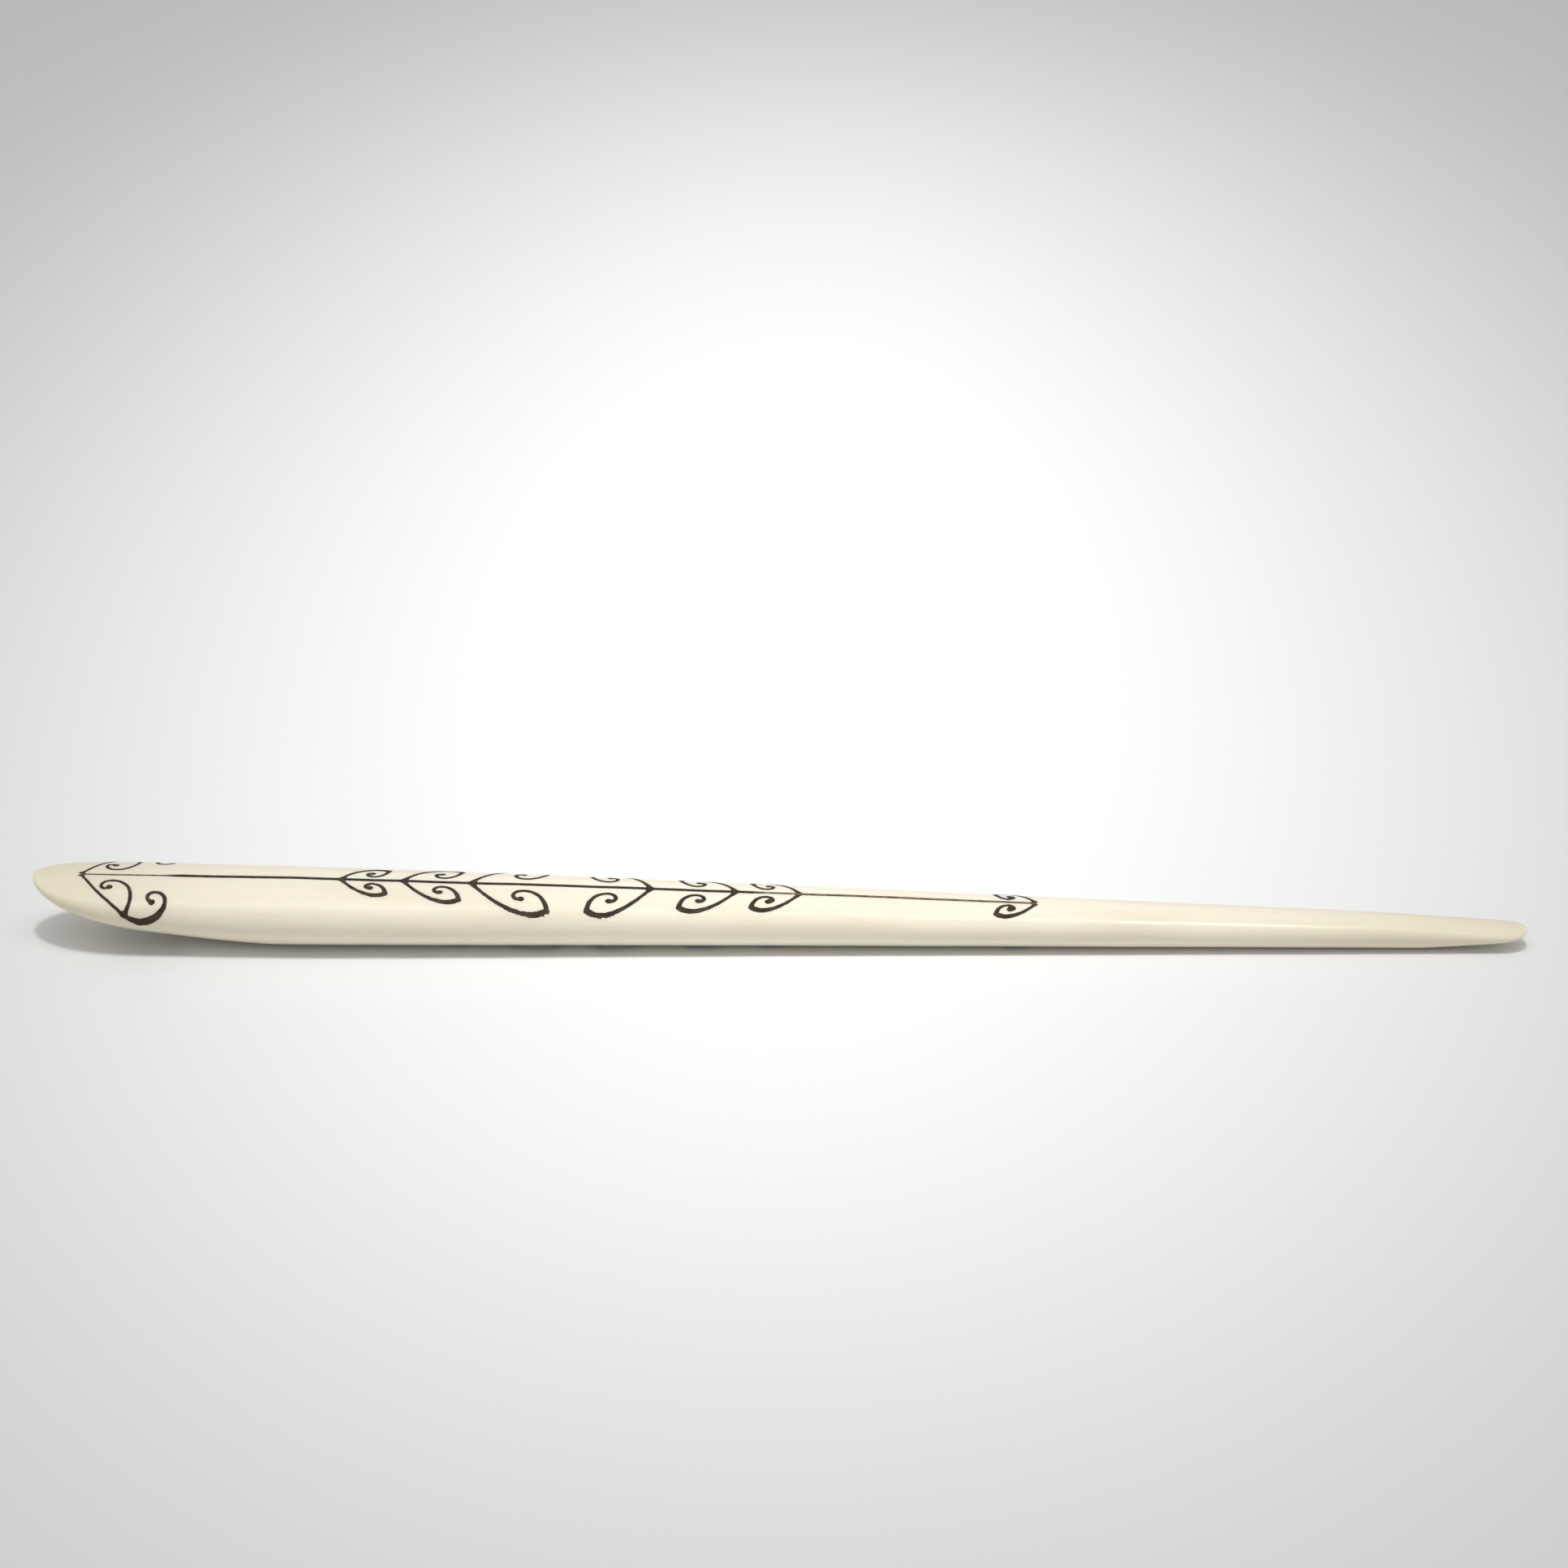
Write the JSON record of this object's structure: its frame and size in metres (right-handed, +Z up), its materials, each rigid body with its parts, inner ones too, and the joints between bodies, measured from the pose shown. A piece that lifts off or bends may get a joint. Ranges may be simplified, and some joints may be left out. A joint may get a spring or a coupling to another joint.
{
  "type": "bone folder",
  "caption": "Slim polished bone folder with a broad rounded head, a long taper to a narrow tip and ink-filled engraved scrolls on both faces.",
  "frame": {"origin": "on the surface that the folder lies on, under the middle of its length and width", "axes": "+X from the broad head to the narrow tip, +Y across the stick from its front to its back, +Z up through its thickness"},
  "size_m": [0.165, 0.012, 0.0071],
  "materials": {
    "bone": "gloss",
    "ink": "matte"
  },
  "bodies": {
    "root": {"bone_body": "bone", "top_arrow_back": "ink", "top_arrow_front": "ink", "top_head_scroll_back": "ink", "top_head_scroll_front": "ink", "top_leaf_1_back": "ink", "top_leaf_1_front": "ink", "top_leaf_2_back": "ink", "top_leaf_2_front": "ink", "top_leaf_3_back": "ink", "top_leaf_3_front": "ink", "top_leaf_4_back": "ink", "top_leaf_4_front": "ink", "top_leaf_5_back": "ink", "top_leaf_5_front": "ink", "top_leaf_6_back": "ink", "top_leaf_6_front": "ink", "top_midline": "ink", "under_arrow_back": "ink", "under_arrow_front": "ink", "under_head_scroll_back": "ink", "under_head_scroll_front": "ink", "under_leaf_1_back": "ink", "under_leaf_1_front": "ink", "under_leaf_2_back": "ink", "under_leaf_2_front": "ink", "under_leaf_3_back": "ink", "under_leaf_3_front": "ink", "under_leaf_4_back": "ink", "under_leaf_4_front": "ink", "under_leaf_5_back": "ink", "under_leaf_5_front": "ink", "under_leaf_6_back": "ink", "under_leaf_6_front": "ink", "under_midline": "ink"}
  },
  "joints": []
}
